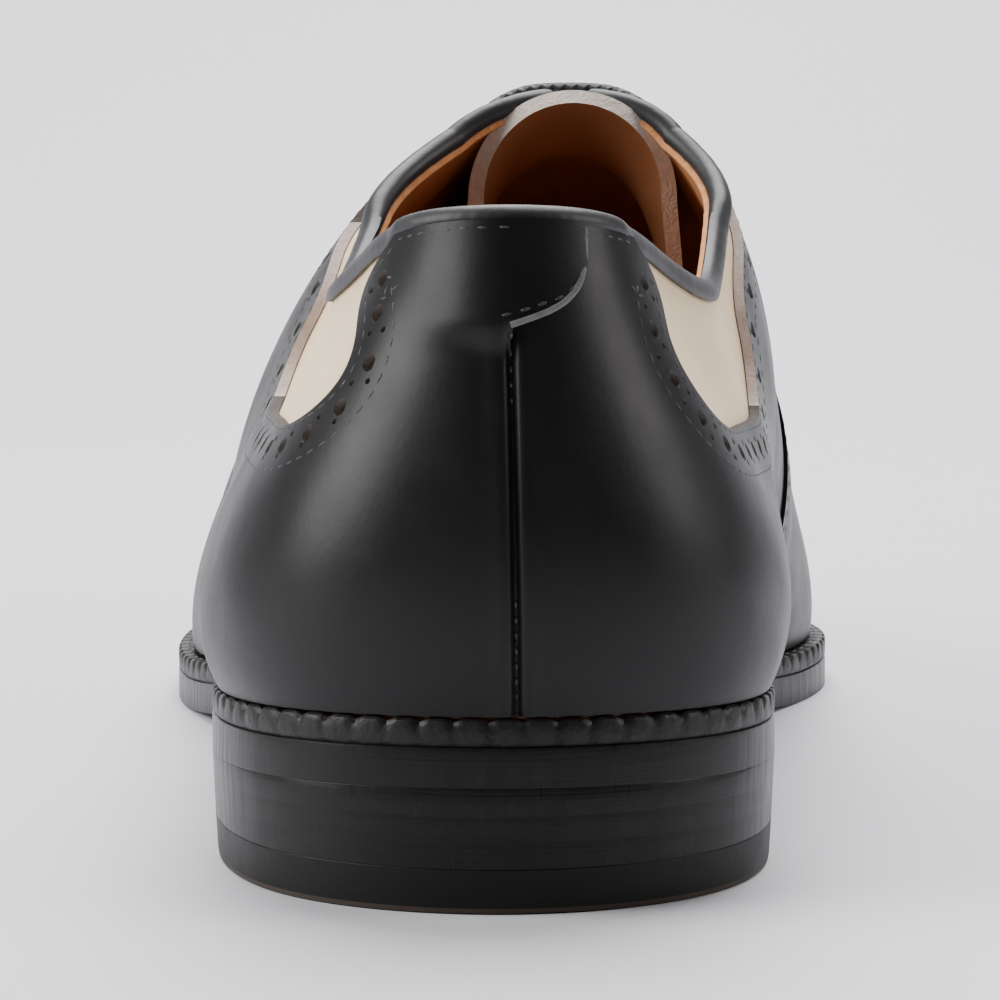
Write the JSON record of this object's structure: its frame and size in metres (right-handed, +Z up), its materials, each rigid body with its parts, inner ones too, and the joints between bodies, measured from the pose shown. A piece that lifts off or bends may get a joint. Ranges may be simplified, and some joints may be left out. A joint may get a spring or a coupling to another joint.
{
  "type": "oxford shoe",
  "caption": "Low laced leather oxford shoe for a left foot, black over cream, with U-shaped side windows, a stacked heel and a welted leather sole.",
  "frame": {"origin": "on the floor, on the heel's walking face under the middle of the heel", "axes": "+Z up; +Y forward, heel to toe; +X towards the inner (medial) side of this left shoe"},
  "size_m": [0.1122, 0.3048, 0.1014],
  "materials": {
    "black_calf": "polished smooth calf",
    "cream_calf": "smooth calf",
    "binding_calf": "soft dark calf, rolled",
    "black_edge": "black edge dressing, burnished",
    "black_rubber": "matte",
    "tan_lining": "unpolished lining calf",
    "tongue_suede": "flesh side, raw edge",
    "lace_cotton": "waxed round cotton lace"
  },
  "bodies": {
    "root": {"back_tab": "black_calf", "collar_binding": "binding_calf", "heel_lifts": "black_edge", "heel_top_piece": "black_rubber", "insole": "tan_lining", "lace": "lace_cotton", "outsole": "black_edge", "quarter_lateral": "black_calf", "quarter_medial": "black_calf", "toe_cap": "black_calf", "tongue": "tongue_suede", "upper": "cream_calf", "vamp": "black_calf", "welt": "black_edge"}
  },
  "joints": []
}
